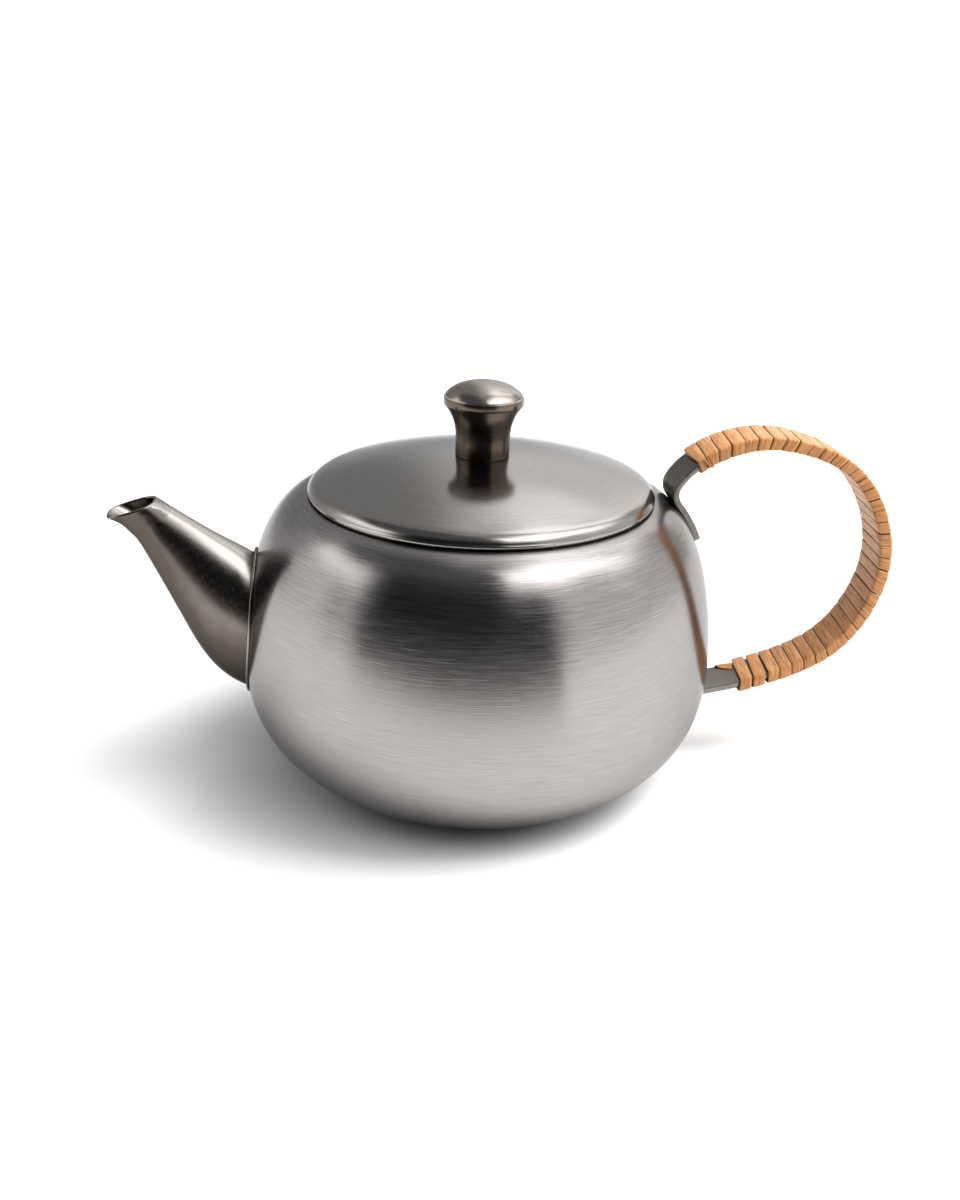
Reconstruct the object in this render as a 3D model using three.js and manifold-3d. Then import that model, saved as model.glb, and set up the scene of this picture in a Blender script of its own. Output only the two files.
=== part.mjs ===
// A brushed steel teapot with a lift-off lid, a tapering spout and a strap handle bound with cane.
// Millimetres, +Z up. The origin is the centre of the flat base; the spout points to -X, the handle to +X.
import * as THREE from "three";
import { mergeVertices } from "three/addons/utils/BufferGeometryUtils.js";
import Module from "manifold-3d";

const wasm = await Module();
wasm.setup();

// Driving dimensions
const WALL = 1.0; // sheet thickness of the pot, its neck and the spout
const GAP = 0.3; // clearance left wherever two pieces touch
const BASE_R = 45.3;
const BELLY_R = 70;
const BELLY_Z = 37;
const MOUTH_R = 50.5; // outer edge of the flat seat round the mouth
const MOUTH_Z = 85.7;
const NECK_R = 45.6; // inside of the turned-down neck, which is the clear width of the mouth
const NECK_DEPTH = 4.5;
const LID_R = 50.5;
const LID_Z = 86.2; // lower edge of the lid's rim
const LID_RIM = 1.0;
const LID_RISE = 10; // height of the dome above its rim
const LID_SHOULDER = 2.2; // the part of that rise taken up by the rounded edge
const LID_WALL = 0.9;
const RING_R = 45.1; // outside of the ring that locates the lid in the neck
const RING_FLANGE_R = 48.8;
const RING_WALL = 0.6;
const RING_DEPTH = 6.5;
const KNOB_TOP_R = 11.5;
const KNOB_FOOT_R = 7.85;
const KNOB_FOOT_Z = 97.5;
const KNOB_BAND_Z = 112; // lower edge of the narrow band under the knob's cap
const KNOB_BAND = 2.3;
const KNOB_TOP_Z = 118.65;
const KNOB_BORE = 10;
const SCREW_R = 2.0;
const SCREW_HEAD_R = 4.2;
const SCREW_HEAD = 2.4;
const WASHER_R = 6.5;
const WASHER_T = 0.8;
const STRAP_W = 13.2;
const STRAP_T = 1.8;
const CANE_T = 0.6;
const CANE_TURNS = 37;
const CANE_GAP = 0.3; // left between one turn and the next
const HOLE_R = 1.5; // strainer holes behind the spout
const HOLE_PITCH = 5.2;
const HOLE_Z = 47;
const COLLAR_W = 1.1; // how far the root collar stands out beyond the spout

const ROUND = 64; // segments round the pot and the lid

const v2 = (x, y) => new THREE.Vector2(x, y);

// Materials: each piece gets its own copy
const brushedSteel = () => steel(0xc4c2be, 0.3);
const satinSteel = () => steel(0x9c948a, 0.26);
const strapSteel = () => steel(0x87827a, 0.38);
const plainSteel = () => steel(0xb0b0ae, 0.34);
const cane = () => new THREE.MeshStandardMaterial({ color: 0xd19a5c, roughness: 0.6, metalness: 0 });

function steel(color, roughness) {
  return new THREE.MeshStandardMaterial({ color, roughness, metalness: 1 });
}

// Solids for cutting and joining
function solidOf(geometry) {
  const bare = geometry.clone();
  bare.deleteAttribute("normal");
  bare.deleteAttribute("uv");
  const merged = mergeVertices(bare, 1e-4);
  return new wasm.Manifold(
    new wasm.Mesh({
      numProp: 3,
      vertProperties: new Float32Array(merged.attributes.position.array),
      triVerts: new Uint32Array(merged.index.array),
    }),
  );
}

function geometryOf(solid) {
  const mesh = solid.getMesh();
  const g = new THREE.BufferGeometry();
  g.setAttribute("position", new THREE.BufferAttribute(new Float32Array(mesh.vertProperties), 3));
  g.setIndex(new THREE.BufferAttribute(new Uint32Array(mesh.triVerts), 1));
  g.computeVertexNormals();
  return g;
}

// A profile of (radius, height) points turned about +Z.
function turned(profile, segments = ROUND) {
  return new THREE.LatheGeometry(profile, segments).rotateX(Math.PI / 2);
}

// An outline in the XZ plane, given a width along Y and centred on Y = 0.
function slab(outline, width) {
  const g = new THREE.ExtrudeGeometry(new THREE.Shape(outline), { depth: width, bevelEnabled: false });
  return g.rotateX(Math.PI / 2).translate(0, width / 2, 0);
}

// A closed skin over rings of points: every ring has as many points, turning the same way.
function skinOver(rings) {
  const n = rings[0].length;
  const last = (rings.length - 1) * n;
  const index = [];
  for (let i = 0; i < last; i += n)
    for (let j = 0; j < n; j++) {
      const k = (j + 1) % n;
      index.push(i + j, i + k, i + n + k, i + j, i + n + k, i + n + j);
    }
  for (let j = 1; j + 1 < n; j++) index.push(0, j + 1, j, last, last + j, last + j + 1);
  const g = new THREE.BufferGeometry();
  const position = rings.flat().flatMap((p) => [p.x, p.y, p.z]);
  g.setAttribute("position", new THREE.Float32BufferAttribute(position, 3));
  g.setIndex(index);
  return g;
}

// Points along a 2-D curve, moved by `out` towards the right of its direction.
function beside(curve, count, out) {
  const points = [];
  for (let i = 0; i <= count; i++) {
    const along = curve.getTangent(i / count);
    points.push(curve.getPoint(i / count).addScaledVector(v2(along.y, -along.x), out));
  }
  return points;
}

// The pot's outline, from the edge of the base up to the mouth
const lowerWall = new THREE.CubicBezierCurve(
  v2(BASE_R, 0),
  v2(BASE_R + 18, 8.5),
  v2(BELLY_R, BELLY_Z - 17),
  v2(BELLY_R, BELLY_Z),
);
const upperWall = new THREE.CubicBezierCurve(
  v2(BELLY_R, BELLY_Z),
  v2(BELLY_R, BELLY_Z + 18),
  v2(MOUTH_R + 14.7, MOUTH_Z - 1.9),
  v2(MOUTH_R, MOUTH_Z),
);

function potOutline(out) {
  return [...beside(lowerWall, 9, out), ...beside(upperWall, 13, out).slice(1)];
}

// The filled shape of the pot, grown by `out`: neighbours are cut back to it.
function potForm(out) {
  const side = potOutline(out);
  return solidOf(turned([v2(0, side[0].y), ...side, v2(0, side[side.length - 1].y)]));
}

// Body shell: base, wall, seat and turned-down neck in one sheet, with strainer holes behind the spout
function strainerHoles() {
  const holes = [];
  for (const [row, count] of [3, 4, 5, 4, 3].entries())
    for (let i = 0; i < count; i++) {
      const y = (i - (count - 1) / 2) * HOLE_PITCH;
      const z = HOLE_Z + (row - 2) * HOLE_PITCH * 0.87;
      const drill = new THREE.CylinderGeometry(HOLE_R, HOLE_R, 16, 10).rotateZ(Math.PI / 2);
      holes.push(solidOf(drill.translate(-BELLY_R + 2, y, z)));
    }
  return wasm.Manifold.union(holes);
}

function bodyShell() {
  const inside = potOutline(-WALL).filter((p) => p.y > WALL);
  const profile = [
    v2(0, 0),
    ...potOutline(0),
    v2(NECK_R + 0.4, MOUTH_Z),
    v2(NECK_R, MOUTH_Z - 0.4),
    v2(NECK_R, MOUTH_Z - NECK_DEPTH),
    v2(NECK_R + WALL, MOUTH_Z - NECK_DEPTH),
    v2(NECK_R + WALL, MOUTH_Z - WALL),
    ...inside.reverse(),
    v2(0, WALL),
  ];
  return geometryOf(solidOf(turned(profile)).subtract(strainerHoles()));
}

// Spout: ovals spanning a point on its lower outline and one on its upper outline, `half` wide each side
const SPOUT = [
  { low: [-60, 24.2], high: [-58, 62.5], half: 15.4 },
  { low: [-69.9, 26.4], high: [-67.4, 68.2], half: 14.4 },
  { low: [-77.6, 31.6], high: [-71.6, 70.8], half: 12.4 },
  { low: [-83.2, 39.3], high: [-75.8, 73.3], half: 10.6 },
  { low: [-88.3, 49.9], high: [-79.9, 75.9], half: 8.8 },
  { low: [-93.4, 61.0], high: [-83.9, 78.6], half: 7.2 },
  { low: [-98.4, 71.4], high: [-87.9, 81.3], half: 5.9 },
  { low: [-101.1, 75.2], high: [-89.9, 82.6], half: 5.5 },
  { low: [-103.7, 78.0], high: [-91.5, 83.6], half: 5.3 },
  { low: [-107.2, 80.0], high: [-93.0, 84.3], half: 5.2 },
];
const SPOUT_STEPS = 18;
const OVAL = 28; // points round each oval
const spoutLow = new THREE.SplineCurve(SPOUT.map((s) => v2(...s.low)));
const spoutHigh = new THREE.SplineCurve(SPOUT.map((s) => v2(...s.high)));
const spoutHalf = new THREE.SplineCurve(SPOUT.map((s, i) => v2(i, s.half)));

function spoutOval(t, out) {
  const low = spoutLow.getPoint(t);
  const high = spoutHigh.getPoint(t);
  const middle = low.clone().lerp(high, 0.5);
  const long = low.distanceTo(high) / 2 + out;
  const wide = spoutHalf.getPoint(t).y + out;
  const rise = high.sub(low).normalize();
  const ring = [];
  for (let i = 0; i < OVAL; i++) {
    const a = (i / OVAL) * 2 * Math.PI;
    const p = middle.clone().addScaledVector(rise, Math.cos(a) * long);
    ring.push(new THREE.Vector3(p.x, Math.sin(a) * wide, p.y));
  }
  return ring;
}

function spoutRings(out, to = 1) {
  const rings = [];
  for (let i = 0; i <= SPOUT_STEPS; i++) rings.push(spoutOval((to * i) / SPOUT_STEPS, out));
  return rings;
}

// The bore runs on past both ends, so that the cut leaves no skin there.
function spoutBore() {
  const rings = spoutRings(-WALL);
  const moved = (ring, x, z) => ring.map((p) => p.clone().add(new THREE.Vector3(x, 0, z)));
  return solidOf(skinOver([moved(rings[0], 4, 0), ...rings, moved(rings[SPOUT_STEPS], -1, 3)]));
}

function spoutTube() {
  const outside = solidOf(skinOver(spoutRings(0)));
  return geometryOf(outside.subtract(spoutBore()).subtract(potForm(GAP)));
}

// A narrow collar that follows the pot's wall all round the root of the spout
function rootCollar() {
  const layer = potForm(GAP + WALL).subtract(potForm(GAP));
  const around = solidOf(skinOver(spoutRings(GAP + COLLAR_W, 0.4)));
  return geometryOf(layer.intersect(around).subtract(solidOf(skinOver(spoutRings(GAP, 0.5)))));
}

// Lid: a shallow dome with a rounded edge and a turned-down rim, pierced for the screw
const crownRise = LID_RISE - LID_SHOULDER;
const domeRadius = (LID_R ** 2 + crownRise ** 2) / (2 * crownRise);
const domeTop = LID_Z + LID_RIM + LID_RISE;

// Height of the dome at radius r, `down` below its outer face.
function domeHeight(r, down) {
  const shoulder = LID_SHOULDER * (r / LID_R) ** 18;
  return domeTop - domeRadius + Math.sqrt((domeRadius - down) ** 2 - r ** 2) - shoulder;
}

function domeArc(edge, down) {
  const count = 9;
  return Array.from({ length: count + 1 }, (_, i) => {
    const r = edge * Math.sin((Math.PI / 2) * (i / count)); // closer together towards the edge
    return v2(r, domeHeight(r, down));
  });
}

function lidDome() {
  const inner = LID_R - LID_WALL;
  const profile = [
    ...domeArc(inner, LID_WALL),
    v2(inner, LID_Z),
    v2(LID_R - 0.2, LID_Z),
    v2(LID_R, LID_Z + 0.2),
    v2(LID_R, LID_Z + LID_RIM - 0.3),
    ...domeArc(LID_R - 0.3, 0).reverse(),
  ];
  const hole = new THREE.CylinderGeometry(SCREW_R + GAP, SCREW_R + GAP, 8, 20).rotateX(Math.PI / 2);
  return geometryOf(solidOf(turned(profile)).subtract(solidOf(hole.translate(0, 0, domeTop))));
}

// The ring under the lid: its flange rests over the seat, its skirt drops into the neck
function locatingRing() {
  const flange = MOUTH_Z + GAP;
  const foot = flange - RING_DEPTH;
  return turned([
    v2(RING_R - RING_WALL, foot),
    v2(RING_R, foot),
    v2(RING_R, flange),
    v2(RING_FLANGE_R, flange),
    v2(RING_FLANGE_R, flange + RING_WALL),
    v2(RING_R - RING_WALL, flange + RING_WALL),
    v2(RING_R - RING_WALL, foot),
  ]);
}

// Knob: domed cap, narrow band and flared neck, drilled from below for the screw
function knobBody() {
  const neck = new THREE.CubicBezierCurve(
    v2(KNOB_FOOT_R, KNOB_FOOT_Z + 4),
    v2(KNOB_FOOT_R, KNOB_FOOT_Z + 8.5),
    v2(KNOB_FOOT_R + 1, KNOB_BAND_Z - 3),
    v2(KNOB_TOP_R - 0.2, KNOB_BAND_Z),
  );
  const cap = new THREE.CubicBezierCurve(
    v2(KNOB_TOP_R, KNOB_BAND_Z + KNOB_BAND),
    v2(KNOB_TOP_R - 1.7, KNOB_TOP_Z - 1.75),
    v2(KNOB_TOP_R / 2 + 0.3, KNOB_TOP_Z),
    v2(0, KNOB_TOP_Z),
  );
  const bore = SCREW_R + GAP;
  const profile = [
    v2(0, KNOB_FOOT_Z + KNOB_BORE + 1),
    v2(bore, KNOB_FOOT_Z + KNOB_BORE),
    v2(bore, KNOB_FOOT_Z),
    v2(KNOB_FOOT_R - 0.3, KNOB_FOOT_Z),
    v2(KNOB_FOOT_R, KNOB_FOOT_Z + 0.3),
    ...neck.getPoints(7),
    v2(KNOB_TOP_R, KNOB_BAND_Z + 0.2),
    ...cap.getPoints(7),
  ];
  return turned(profile, 36);
}

// Under the lid: a washer against the dome, and a slotted screw up into the knob
const washerTop = domeHeight(WASHER_R, LID_WALL) - GAP;
const headTop = washerTop - WASHER_T - GAP;

function knobWasher() {
  const hole = SCREW_R + GAP;
  const under = washerTop - WASHER_T;
  return turned(
    [v2(hole, under), v2(WASHER_R, under), v2(WASHER_R, washerTop), v2(hole, washerTop), v2(hole, under)],
    28,
  );
}

function knobScrew() {
  const tip = KNOB_FOOT_Z + KNOB_BORE - 1;
  const profile = [
    v2(0, headTop - SCREW_HEAD),
    v2(SCREW_HEAD_R * 0.6, headTop - SCREW_HEAD + 0.2),
    v2(SCREW_HEAD_R, headTop - SCREW_HEAD / 2),
    v2(SCREW_HEAD_R, headTop),
    v2(SCREW_R, headTop),
    v2(SCREW_R, tip),
    v2(SCREW_R - 0.6, tip + 0.6),
    v2(0, tip + 0.6),
  ];
  const slot = new THREE.BoxGeometry(2 * SCREW_HEAD_R + 2, 1.1, SCREW_HEAD);
  const cut = solidOf(slot.translate(0, 0, headTop - SCREW_HEAD));
  return geometryOf(solidOf(turned(profile, 24)).subtract(cut));
}

// Handle: the strap's centre line in the XZ plane, from its tab on the shoulder round to its foot
const STRAP_LINE = [
  [64.7, 72.2],
  [62.8, 76.2],
  [60.2, 80.4],
  [57.5, 84.0],
  [57.0, 87.4],
  [59.2, 91.1],
  [62.9, 94.6],
  [68.5, 98.0],
  [75.4, 100.5],
  [82.4, 101.6],
  [89.4, 101.2],
  [96.0, 99.7],
  [102.6, 97.4],
  [109.0, 93.8],
  [114.3, 88.9],
  [118.6, 82.8],
  [121.7, 75.9],
  [123.5, 68.5],
  [123.7, 60.8],
  [122.1, 53.2],
  [119.0, 46.0],
  [114.7, 39.6],
  [109.3, 34.5],
  [103.3, 30.9],
  [96.6, 28.1],
  [89.6, 25.9],
  [82.0, 23.8],
  [75.6, 22.5],
  [65.6, 20.9],
];
const STRAP_STEPS = 90;
const strapCurve = new THREE.SplineCurve(STRAP_LINE.map((p) => v2(...p)));
strapCurve.arcLengthDivisions = 600;
const strapLength = strapCurve.getLength();

// A point beside the strap's centre line: `s` along it, `y` across its width, `h` out from the loop.
function onStrap(s, y, h) {
  const along = strapCurve.getTangentAt(s / strapLength);
  const p = strapCurve.getPointAt(s / strapLength).addScaledVector(v2(-along.y, along.x), h);
  return new THREE.Vector3(p.x, y, p.y);
}

function handleStrap() {
  const face = (h) =>
    Array.from({ length: STRAP_STEPS + 1 }, (_, i) => {
      const p = onStrap((strapLength * i) / STRAP_STEPS, 0, h);
      return v2(p.x, p.z);
    });
  const outline = [...face(STRAP_T / 2), ...face(-STRAP_T / 2).reverse()];
  return geometryOf(solidOf(slab(outline, STRAP_W)).subtract(potForm(GAP)));
}

// A fillet of solder in the corner under the strap's foot
function footFillet() {
  const wedge = [v2(64, 19.4), v2(73.2, 20.7), v2(71.4, 19.5), v2(70.0, 18.0), v2(69.0, 16.6), v2(64, 16.6)];
  return geometryOf(solidOf(slab(wedge, STRAP_W - 0.6)).subtract(potForm(GAP)));
}

// Cane: one flat strip wound round the strap. The corners of its path round the strap, in order
const CANE_START = 27; // along the strap
const CANE_END = 174;
const caneY = STRAP_W / 2 + GAP;
const caneH = STRAP_T / 2 + GAP;
const CANE_PATH = [
  [-caneY + 0.8, caneH],
  [caneY - 0.8, caneH],
  [caneY, caneH - 0.4],
  [caneY, -caneH + 0.4],
  [caneY - 0.8, -caneH],
  [-caneY + 0.8, -caneH],
  [-caneY, -caneH + 0.4],
  [-caneY, caneH - 0.4],
].map((p) => v2(...p));

// The step from the inside of the cane to its outside at one corner of the path.
function caneStep(corner) {
  const n = CANE_PATH.length;
  const here = CANE_PATH[corner];
  const before = here.clone().sub(CANE_PATH[(corner + n - 1) % n]).normalize();
  const after = CANE_PATH[(corner + 1) % n].clone().sub(here).normalize();
  const sum = v2(-before.y - after.y, before.x + after.x);
  return sum.multiplyScalar(CANE_T / (1 + before.dot(after)));
}

function caneWrap() {
  const corners = CANE_PATH.length;
  const pitch = (CANE_END - CANE_START) / CANE_TURNS;
  const half = (pitch - CANE_GAP) / 2;
  const rings = [];
  for (let i = 0; i <= (CANE_TURNS - 1) * corners; i++) {
    const inside = CANE_PATH[i % corners];
    const outside = inside.clone().add(caneStep(i % corners));
    const s = CANE_START + half + (pitch * i) / corners;
    rings.push([
      onStrap(s - half, inside.x, inside.y),
      onStrap(s - half, outside.x, outside.y),
      onStrap(s + half, outside.x, outside.y),
      onStrap(s + half, inside.x, inside.y),
    ]);
  }
  return skinOver(rings);
}

// The cane's cut end, tucked slantwise along the strap beyond the last turn
function caneTail() {
  const h = -STRAP_T / 2 - GAP;
  const rings = [];
  for (const [s, y, half] of [[CANE_END + 0.4, 2.4, 1.6], [CANE_END + 2.4, 3.8, 1.3], [CANE_END + 4.2, 5.0, 0.7]])
    rings.push([
      onStrap(s, y - half, h),
      onStrap(s, y - half, h - CANE_T),
      onStrap(s, y + half, h - CANE_T),
      onStrap(s, y + half, h),
    ]);
  return skinOver(rings);
}

// Assembly
function piece(name, geometry, material) {
  const mesh = new THREE.Mesh(geometry, material);
  mesh.name = name;
  return mesh;
}

function gather(name, meshes) {
  const group = new THREE.Group();
  group.name = name;
  group.add(...meshes);
  return group;
}

const pot = gather("pot", [
  piece("body_shell", bodyShell(), brushedSteel()),
  piece("spout_tube", spoutTube(), satinSteel()),
  piece("spout_root_collar", rootCollar(), satinSteel()),
  piece("handle_strap", handleStrap(), strapSteel()),
  piece("handle_foot_fillet", footFillet(), strapSteel()),
  piece("cane_wrap", caneWrap(), cane()),
  piece("cane_tail", caneTail(), cane()),
]);

const lid = gather("lid", [
  piece("lid_dome", lidDome(), brushedSteel()),
  piece("lid_locating_ring", locatingRing(), plainSteel()),
  piece("knob", knobBody(), satinSteel()),
  piece("knob_washer", knobWasher(), plainSteel()),
  piece("knob_screw", knobScrew(), plainSteel()),
]);

export default gather("teapot", [pot, lid]);
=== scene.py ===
"""The looks of a brushed steel teapot with a cane-bound strap handle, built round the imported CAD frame.

Shapes are worked out in millimetres in the CAD frame and turned to metres when a mesh is made.
The spout points to -X, the handle to +X, and Z is up from the flat base.
"""

import math
import random

import bpy
import numpy as np
from mathutils import Matrix, Vector

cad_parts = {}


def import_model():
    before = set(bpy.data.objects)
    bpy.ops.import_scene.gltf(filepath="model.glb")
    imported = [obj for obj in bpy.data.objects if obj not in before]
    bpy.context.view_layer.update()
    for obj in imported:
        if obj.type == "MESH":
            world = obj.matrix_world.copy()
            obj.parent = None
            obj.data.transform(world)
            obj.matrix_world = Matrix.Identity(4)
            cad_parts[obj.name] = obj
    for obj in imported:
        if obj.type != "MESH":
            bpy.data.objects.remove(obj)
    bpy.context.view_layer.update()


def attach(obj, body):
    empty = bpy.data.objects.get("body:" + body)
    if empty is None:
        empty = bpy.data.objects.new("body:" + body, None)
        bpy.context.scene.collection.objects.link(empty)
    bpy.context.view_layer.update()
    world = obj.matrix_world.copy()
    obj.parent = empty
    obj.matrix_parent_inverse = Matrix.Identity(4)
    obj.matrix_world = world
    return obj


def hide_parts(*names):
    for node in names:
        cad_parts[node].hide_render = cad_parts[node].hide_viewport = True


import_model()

MM = 0.001
FINE = 1.0  # share of the full mesh density


def steps(n):
    return max(8, int(round(n * FINE)))


# ---------------------------------------------------------------- curves

def bezier(p0, p1, p2, p3, n):
    t = np.linspace(0, 1, n)[:, None]
    p0, p1, p2, p3 = (np.array(p, float) for p in (p0, p1, p2, p3))
    return (1 - t) ** 3 * p0 + 3 * (1 - t) ** 2 * t * p1 + 3 * (1 - t) * t * t * p2 + t ** 3 * p3


def spline(points, t):
    """A uniform Catmull-Rom curve through points at t in 0..1, with its ends repeated, as in the CAD."""
    p = np.array(points, float)
    n = len(p) - 1
    x = np.clip(np.asarray(t, float), 0, 1) * n
    i = np.minimum(x.astype(int), n - 1)
    w = (x - i)[:, None]
    a, b, c, d = p[np.maximum(i - 1, 0)], p[i], p[i + 1], p[np.minimum(i + 2, n)]
    v0, v1 = (c - a) / 2, (d - b) / 2
    return (2 * b - 2 * c + v0 + v1) * w ** 3 + (3 * c - 3 * b - 2 * v0 - v1) * w ** 2 + v0 * w + b


def beside(path, out):
    """path moved by out towards the right of its direction."""
    d = np.gradient(path, axis=0)
    d /= np.linalg.norm(d, axis=1)[:, None]
    return path + np.stack([d[:, 1], -d[:, 0]], 1) * out


def arc(cx, cy, r, a0, a1, n):
    a = np.radians(np.linspace(a0, a1, n))
    return np.stack([cx + r * np.cos(a), cy + r * np.sin(a)], 1)


# ---------------------------------------------------------------- meshes

def make_mesh(name, verts, faces, uvs, body, material, sharp=38):
    """A mesh piece from points in millimetres. uvs holds one (u, v) per face corner, in order."""
    me = bpy.data.meshes.new(name)
    me.from_pydata([tuple(v) for v in np.asarray(verts, float) * MM], [], faces)
    if uvs is not None:
        layer = me.uv_layers.new(name="UVMap")
        layer.data.foreach_set("uv", np.asarray(uvs, np.float32).ravel())
    me.polygons.foreach_set("use_smooth", [True] * len(me.polygons))
    me.set_sharp_from_angle(angle=math.radians(sharp))
    me.materials.append(material)
    me.update()
    ob = bpy.data.objects.new(name, me)
    bpy.context.scene.collection.objects.link(ob)
    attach(ob, body)
    return ob


def grid(rows, uv, wrap_rows=False, cap_first=False, cap_last=False):
    """(verts, faces, uvs) of a sheet of quads over rows[i][j], closed in j, with uv(i, j) at its corners."""
    n, m = len(rows), len(rows[0])
    verts = np.asarray(rows, float).reshape(-1, 3)
    faces, uvs = [], []
    for i in range(n if wrap_rows else n - 1):
        k = (i + 1) % n
        for j in range(m):
            q = (j + 1) % m
            faces.append((i * m + j, i * m + q, k * m + q, k * m + j))
            uvs += [uv(i, j), uv(i, j + 1), uv(i + 1, j + 1), uv(i + 1, j)]
    if cap_first:
        faces.append(tuple(range(m - 1, -1, -1)))
        uvs += [uv(0, j) for j in range(m - 1, -1, -1)]
    if cap_last:
        faces.append(tuple((n - 1) * m + j for j in range(m)))
        uvs += [uv(n - 1, j) for j in range(m)]
    return verts, faces, uvs


def lathe(profile, segments):
    """(verts, faces, uvs) of an outline of (radius, height) turned about Z.

    The outline starts and ends on the axis, or closes on itself. u is the share of a turn and v the length along
    the outline, in metres.
    """
    p = np.asarray(profile, float)
    on_axis = p[0, 0] < 1e-6
    if not on_axis:
        p = p[:-1]
    run = np.r_[0, np.cumsum(np.linalg.norm(np.diff(p, axis=0), axis=1))] * MM
    a = np.arange(segments) / segments * 2 * math.pi
    ring = np.stack([np.cos(a), np.sin(a)], 1)
    verts, faces, uvs = [], [], []
    inner = p[1:-1] if on_axis else p
    for r, z in inner:
        verts += [(r * c, r * s, z) for c, s in ring]
    n = len(inner)
    first = 1 if on_axis else 0
    for i in range(n - 1 if on_axis else n):
        k = (i + 1) % n
        va = run[first + i]
        vb = run[first + i + 1] if first + i + 1 < len(run) else run[-1] + MM
        for j in range(segments):
            q = (j + 1) % segments
            faces.append((i * segments + j, i * segments + q, k * segments + q, k * segments + j))
            here, there = j / segments, (j + 1) / segments
            uvs += [(here, va), (there, va), (there, vb), (here, vb)]
    if on_axis:
        low = len(verts)
        verts += [(0, 0, p[0, 1]), (0, 0, p[-1, 1])]
        last = (n - 1) * segments
        for j in range(segments):
            q = (j + 1) % segments
            faces.append((low, q, j))
            uvs += [(j / segments, run[0]), ((j + 1) / segments, run[1]), (j / segments, run[1])]
            faces.append((low + 1, last + j, last + q))
            uvs += [(j / segments, run[-1]), (j / segments, run[-2]), ((j + 1) / segments, run[-2])]
    return verts, faces, uvs


def cut_with(ob, cutter):
    """Take the cutter's shape out of a piece, and delete the cutter."""
    cut = ob.modifiers.new("cut", "BOOLEAN")
    cut.operation, cut.object, cut.solver = "DIFFERENCE", cutter, "EXACT"
    apply_modifiers(ob)
    bpy.data.objects.remove(cutter)


def bare_object(name, verts, faces):
    """An object from points in millimetres, with no material and no body."""
    me = bpy.data.meshes.new(name)
    me.from_pydata([tuple(v) for v in np.array(verts) * MM], [], faces)
    me.validate()
    ob = bpy.data.objects.new(name, me)
    bpy.context.scene.collection.objects.link(ob)
    return ob


def apply_modifiers(ob):
    """Turn a piece into the mesh that its modifiers give."""
    dg = bpy.context.evaluated_depsgraph_get()
    me = bpy.data.meshes.new_from_object(ob.evaluated_get(dg))
    old = ob.data
    ob.modifiers.clear()
    ob.data = me
    bpy.data.meshes.remove(old)


# ---------------------------------------------------------------- materials

class Nodes:
    """A short way to write a node tree."""

    def __init__(self, tree):
        self.tree = tree

    def add(self, kind, **settings):
        node = self.tree.nodes.new("ShaderNode" + kind)
        for key, value in settings.items():
            setattr(node, key, value)
        return node

    def link(self, a, b):
        self.tree.links.new(a, b)

    def put(self, socket, value):
        if isinstance(value, bpy.types.NodeSocket):
            self.link(value, socket)
        else:
            socket.default_value = value

    def math(self, operation, a, b=0.0, c=0.0):
        node = self.add("Math", operation=operation)
        for i, value in enumerate((a, b, c)):
            self.put(node.inputs[i], value)
        return node.outputs[0]

    def combine(self, x, y, z):
        node = self.add("CombineXYZ")
        for i, value in enumerate((x, y, z)):
            self.put(node.inputs[i], value)
        return node.outputs[0]

    def noise(self, vector, scale=1.0, detail=2.0, rough=0.5):
        node = self.add("TexNoise")
        self.put(node.inputs["Vector"], vector)
        node.inputs["Scale"].default_value = scale
        node.inputs["Detail"].default_value = detail
        node.inputs["Roughness"].default_value = rough
        return node.outputs["Fac"]

    def span(self, value, low, high, to_low, to_high):
        node = self.add("MapRange")
        node.inputs["From Min"].default_value = low
        node.inputs["From Max"].default_value = high
        node.inputs["To Min"].default_value = to_low
        node.inputs["To Max"].default_value = to_high
        self.put(node.inputs["Value"], value)
        return node.outputs[0]

    def ramp(self, value, stops):
        node = self.add("ValToRGB")
        self.put(node.inputs[0], value)
        elements = node.color_ramp.elements
        while len(elements) < len(stops):
            elements.new(0.5)
        for e, (at, color) in zip(elements, stops):
            e.position = at
            e.color = (*color, 1)
        return node.outputs[0]

    def mix(self, factor, a, b, blend="MIX"):
        node = self.add("Mix", data_type="RGBA", blend_type=blend)
        self.put(node.inputs[0], factor)
        for socket, value in ((node.inputs[6], a), (node.inputs[7], b)):
            self.put(socket, (*value, 1) if isinstance(value, tuple) else value)
        return node.outputs[2]

    def bump(self, height, strength, distance, normal=None):
        node = self.add("Bump")
        node.inputs["Strength"].default_value = strength
        node.inputs["Distance"].default_value = distance
        self.put(node.inputs["Height"], height)
        if normal is not None:
            self.link(normal, node.inputs["Normal"])
        return node.outputs["Normal"]

    def parts(self, vector):
        """The x, y and z of a vector."""
        node = self.add("SeparateXYZ")
        self.link(vector, node.inputs[0])
        return node.outputs[0], node.outputs[1], node.outputs[2]

    def place(self, kind="Object"):
        """A texture coordinate: the place in the object, or the direction in a world."""
        return self.add("TexCoord").outputs[kind]

    def soft_step(self, value, zero, one):
        """0 to 1 with soft ends as the value goes from zero to one."""
        node = self.add("MapRange", interpolation_type="SMOOTHSTEP")
        self.put(node.inputs["Value"], value)
        node.inputs["From Min"].default_value = zero
        node.inputs["From Max"].default_value = one
        return node.outputs[0]


class Surface(Nodes):
    """The node tree of a new material, with its Principled shader."""

    def __init__(self, name):
        self.material = bpy.data.materials.new(name)
        self.material.use_nodes = True
        super().__init__(self.material.node_tree)
        self.shader = self.tree.nodes["Principled BSDF"]

    def set(self, socket, value):
        """Put a value or an output into one of the shader's sockets."""
        self.put(self.shader.inputs[socket], value)


NOISE_LOW, NOISE_HIGH = 0.3, 0.7  # the range that nearly all of a noise falls in


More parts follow.
